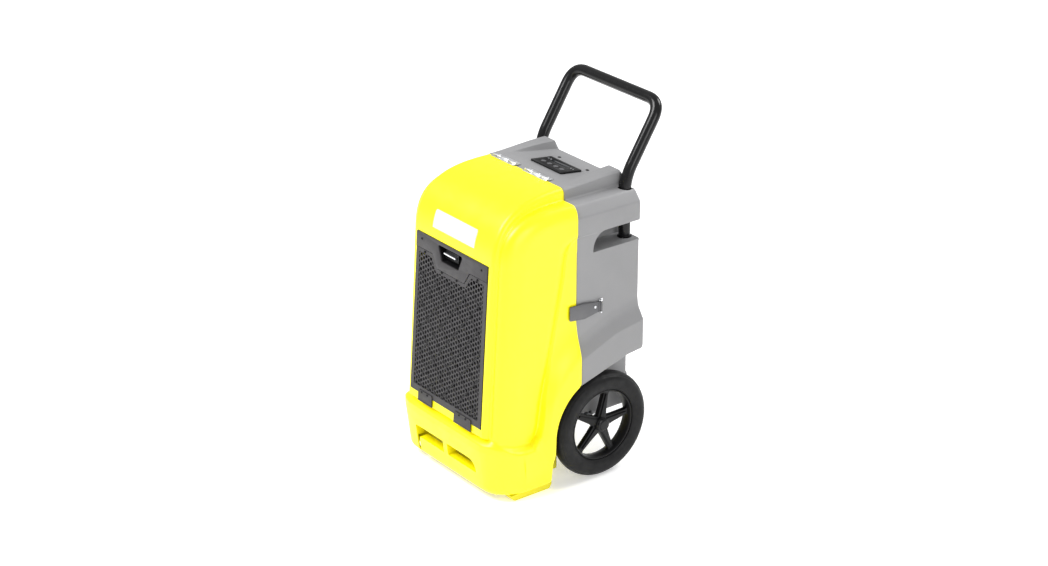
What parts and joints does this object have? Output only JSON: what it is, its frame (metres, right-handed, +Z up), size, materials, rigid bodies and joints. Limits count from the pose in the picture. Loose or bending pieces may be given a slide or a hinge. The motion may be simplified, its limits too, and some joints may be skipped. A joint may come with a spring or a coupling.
{
  "type": "dehumidifier",
  "caption": "Portable commercial dehumidifier on two wheels: bulging yellow cover with a perforated filter door, grey rear housing and a telescoping U handle.",
  "frame": {"origin": "centre of the bounding box on the floor", "axes": "+Z up, the front with its filter door faces -Y, +X to the right seen from the front"},
  "size_m": [0.428, 0.508, 0.8595],
  "materials": {
    "yellow": "satin moulded plastic",
    "grey": "fine moulded grain",
    "door": "satin powder coat",
    "foam": "open filter medium",
    "dark_steel": "dark satin",
    "steel": "satin",
    "plate": "smooth bright",
    "galvanised": "galvanised",
    "handle": "gloss black",
    "black": "satin",
    "gloss": "gloss",
    "rubber": "semi-gloss",
    "lens": "smoked, unlit",
    "copper": "copper tube",
    "aluminium": "fin pack",
    "compressor": "black enamel"
  },
  "bodies": {
    "frame": {"fan_motor": "dark_steel", "base_pan": "yellow", "foot_left": "yellow", "foot_right": "yellow", "rear_housing": "grey", "axle": "steel", "hinge_leaf_fixed_left": "steel", "hinge_leaf_fixed_right": "steel", "hinge_pin_left": "steel", "hinge_pin_right": "steel", "latch_pin_left": "steel", "latch_pin_right": "steel", "axle_bracket_left": "galvanised", "axle_bracket_right": "galvanised", "coil_frame": "galvanised", "fan_shroud": "galvanised", "motor_bracket": "galvanised", "control_box": "galvanised", "compressor_pad": "rubber", "handle_bush_upper_left": "black", "handle_bush_upper_right": "black", "handle_bush_lower_left": "black", "handle_bush_lower_right": "black", "control_panel": "black", "drain_tray": "black", "condensate_pump": "black", "outlet_grille": "black", "power_inlet": "black", "drain_fitting": "black", "display_lens": "lens", "suction_pipe": "copper", "discharge_pipe": "copper", "evaporator_coil": "aluminium", "condenser_coil": "aluminium", "compressor": "compressor"},
    "filter_door": {"door_header": "door", "door_grille": "door", "door_filter": "foam", "door_tab_left": "door", "door_tab_right": "door"},
    "door_latch": {"door_latch": "dark_steel"},
    "cover": {"front_cover": "yellow", "name_plate": "plate", "hinge_leaf_cover_left": "steel", "hinge_leaf_cover_right": "steel"},
    "wheel_left": {"tyre_left": "rubber", "rim_left": "black", "hub_cap_left": "gloss"},
    "wheel_right": {"tyre_right": "rubber", "rim_right": "black", "hub_cap_right": "gloss"},
    "handle": {"handle": "handle"},
    "side_latch_left": {"side_latch_left": "dark_steel"},
    "side_latch_right": {"side_latch_right": "dark_steel"},
    "fan": {"fan_rotor": "black"},
    "button_1": {"button_1": "black"},
    "button_2": {"button_2": "black"},
    "button_3": {"button_3": "black"},
    "button_4": {"button_4": "black"}
  },
  "joints": [
    {"name": "cover_hinge", "type": "hinge", "parent": "frame", "child": "cover", "pos_m": [0, -0.0195, 0.7024], "axis": [-1, 0, 0], "range_deg": [0, 70]},
    {"name": "door_hinge", "type": "hinge", "parent": "cover", "child": "filter_door", "pos_m": [0, -0.25044, 0.16011], "axis": [1, 0, 0], "range_deg": [0, 95]},
    {"name": "door_latch_slide", "type": "slide", "parent": "filter_door", "child": "door_latch", "axis": [0, -0.0673, -0.9977], "range_m": [0, 0.005], "stiffness_N_per_m": 400, "springref_m": -0.002},
    {"name": "handle_slide", "type": "slide", "parent": "frame", "child": "handle", "axis": [0, 0, 1], "range_m": [0, 0.18]},
    {"name": "wheel_left_spin", "type": "hinge", "parent": "frame", "child": "wheel_left", "pos_m": [-0.192, 0.045, 0.127], "axis": [1, 0, 0], "continuous": true},
    {"name": "wheel_right_spin", "type": "hinge", "parent": "frame", "child": "wheel_right", "pos_m": [0.192, 0.045, 0.127], "axis": [1, 0, 0], "continuous": true},
    {"name": "side_latch_left_swing", "type": "hinge", "parent": "frame", "child": "side_latch_left", "pos_m": [-0.193, 0.046, 0.418], "axis": [0, 0, -1], "range_deg": [0, 110]},
    {"name": "side_latch_right_swing", "type": "hinge", "parent": "frame", "child": "side_latch_right", "pos_m": [0.193, 0.046, 0.418], "axis": [0, 0, 1], "range_deg": [0, 110]},
    {"name": "fan_spin", "type": "hinge", "parent": "frame", "child": "fan", "pos_m": [0, -0.072, 0.44], "axis": [0, 1, 0], "continuous": true},
    {"name": "button_1_press", "type": "slide", "parent": "frame", "child": "button_1", "axis": [0, -0.124, -0.9923], "range_m": [0, 0.001], "stiffness_N_per_m": 300, "springref_m": -0.0003},
    {"name": "button_2_press", "type": "slide", "parent": "frame", "child": "button_2", "axis": [0, -0.124, -0.9923], "range_m": [0, 0.001], "stiffness_N_per_m": 300, "springref_m": -0.0003},
    {"name": "button_3_press", "type": "slide", "parent": "frame", "child": "button_3", "axis": [0, -0.124, -0.9923], "range_m": [0, 0.001], "stiffness_N_per_m": 300, "springref_m": -0.0003},
    {"name": "button_4_press", "type": "slide", "parent": "frame", "child": "button_4", "axis": [0, -0.124, -0.9923], "range_m": [0, 0.001], "stiffness_N_per_m": 300, "springref_m": -0.0003}
  ]
}
